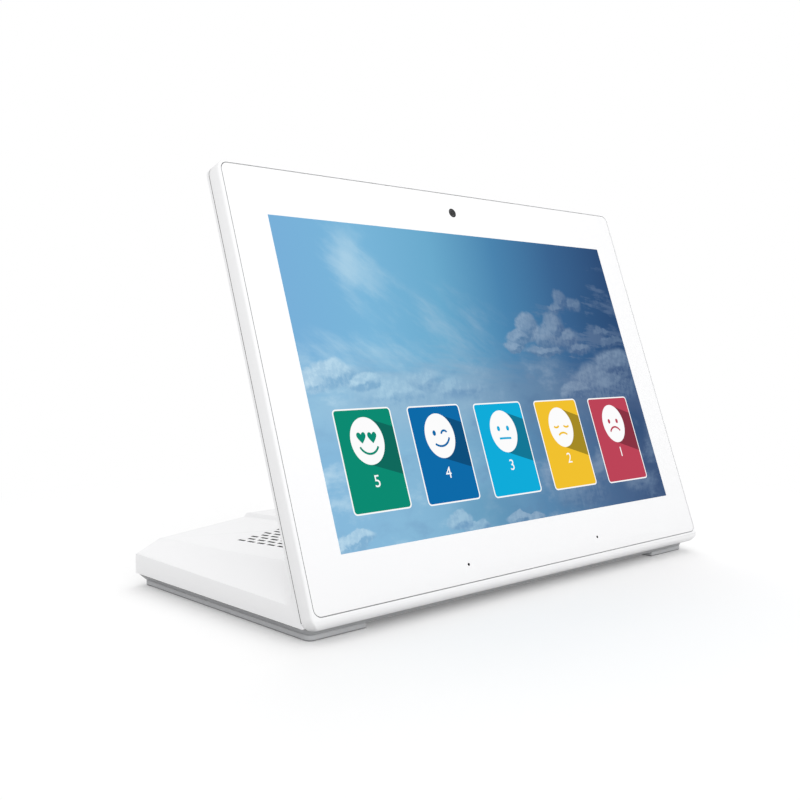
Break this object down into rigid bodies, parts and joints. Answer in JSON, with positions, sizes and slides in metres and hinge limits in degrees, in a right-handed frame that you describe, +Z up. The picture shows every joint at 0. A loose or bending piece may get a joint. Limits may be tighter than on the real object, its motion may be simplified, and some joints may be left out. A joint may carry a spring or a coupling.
{
  "type": "desktop feedback terminal",
  "caption": "L-shaped desktop touch terminal: leaning white display head moulded onto a low speaker base, with rear sockets and sprung side keys.",
  "frame": {"origin": "middle of the footprint, on the floor", "axes": "+X to the viewer's right along the head's width, +Y to the back, +Z up"},
  "size_m": [0.2542, 0.1304, 0.1804],
  "materials": {
    "white_gloss": "moulded white plastic with a soft gloss",
    "white_key": "moulded white plastic",
    "white_matte": "fine moulded texture",
    "white_rubber": "matt moulded rubber",
    "foot_rubber": "matt light grey rubber",
    "glass_front": "clear polished glass with a white printed border",
    "display": "lit display",
    "touch_film": "clear laminate",
    "adhesive": "black foam tape",
    "foam": "closed-cell foam",
    "steel": "zinc-plated sheet",
    "screw_steel": "plated steel",
    "board_green": "solder mask",
    "black_plastic": "fine matt",
    "black_rubber": "matt",
    "cable_film": "flat cable film",
    "pad_grey": "soft pad",
    "aluminium": "extruded",
    "port_metal": "plated shell"
  },
  "bodies": {
    "terminal": {"antenna_left": "cable_film", "antenna_right": "cable_film", "audio_jack": "black_plastic", "base_pan": "white_matte", "bracket_screws": "screw_steel", "camera_cable": "cable_film", "camera_gasket": "foam", "camera_module": "black_plastic", "cover_glass": "glass_front", "dc_jack": "black_plastic", "display_gasket": "foam", "display_panel": "display", "display_ribbon": "cable_film", "foot_left": "foot_rubber", "foot_right": "foot_rubber", "front_frame": "white_gloss", "glass_tape": "adhesive", "heat_sink": "aluminium", "housing_screws": "screw_steel", "io_board": "board_green", "io_board_screws": "screw_steel", "key_board": "board_green", "lan_port": "port_metal", "main_board": "board_green", "main_board_screws": "screw_steel", "main_ribbon": "cable_film", "mic_boot_left": "black_rubber", "mic_boot_right": "black_rubber", "micro_usb_port": "port_metal", "microphone_left": "black_plastic", "microphone_right": "black_plastic", "mid_plate": "steel", "mid_plate_screws": "screw_steel", "pan_screws": "screw_steel", "rear_housing": "white_gloss", "screw_plugs": "white_rubber", "shield_can": "steel", "speaker_gasket_left": "foam", "speaker_gasket_right": "foam", "speaker_left": "black_plastic", "speaker_mesh_left": "black_plastic", "speaker_mesh_right": "black_plastic", "speaker_right": "black_plastic", "support_bracket": "steel", "thermal_pad": "pad_grey", "touch_sensor": "touch_film", "usb_port_left": "port_metal", "usb_port_right": "port_metal"},
    "power_button": {"power_button": "white_key"},
    "volume_up_button": {"volume_up_button": "white_key"},
    "volume_down_button": {"volume_down_button": "white_key"},
    "reset_button": {"reset_button": "black_plastic"}
  },
  "joints": [
    {"name": "power_press", "type": "slide", "parent": "terminal", "child": "power_button", "axis": [0, -0.9438, 0.3305], "range_m": [0, 0.0005], "stiffness_N_per_m": 1500},
    {"name": "volume_up_press", "type": "slide", "parent": "terminal", "child": "volume_up_button", "axis": [0, -0.9438, 0.3305], "range_m": [0, 0.0005], "stiffness_N_per_m": 1500},
    {"name": "volume_down_press", "type": "slide", "parent": "terminal", "child": "volume_down_button", "axis": [0, -0.9438, 0.3305], "range_m": [0, 0.0005], "stiffness_N_per_m": 1500},
    {"name": "reset_press", "type": "slide", "parent": "terminal", "child": "reset_button", "axis": [0, -1, 0], "range_m": [0, 0.0003], "stiffness_N_per_m": 1500}
  ]
}
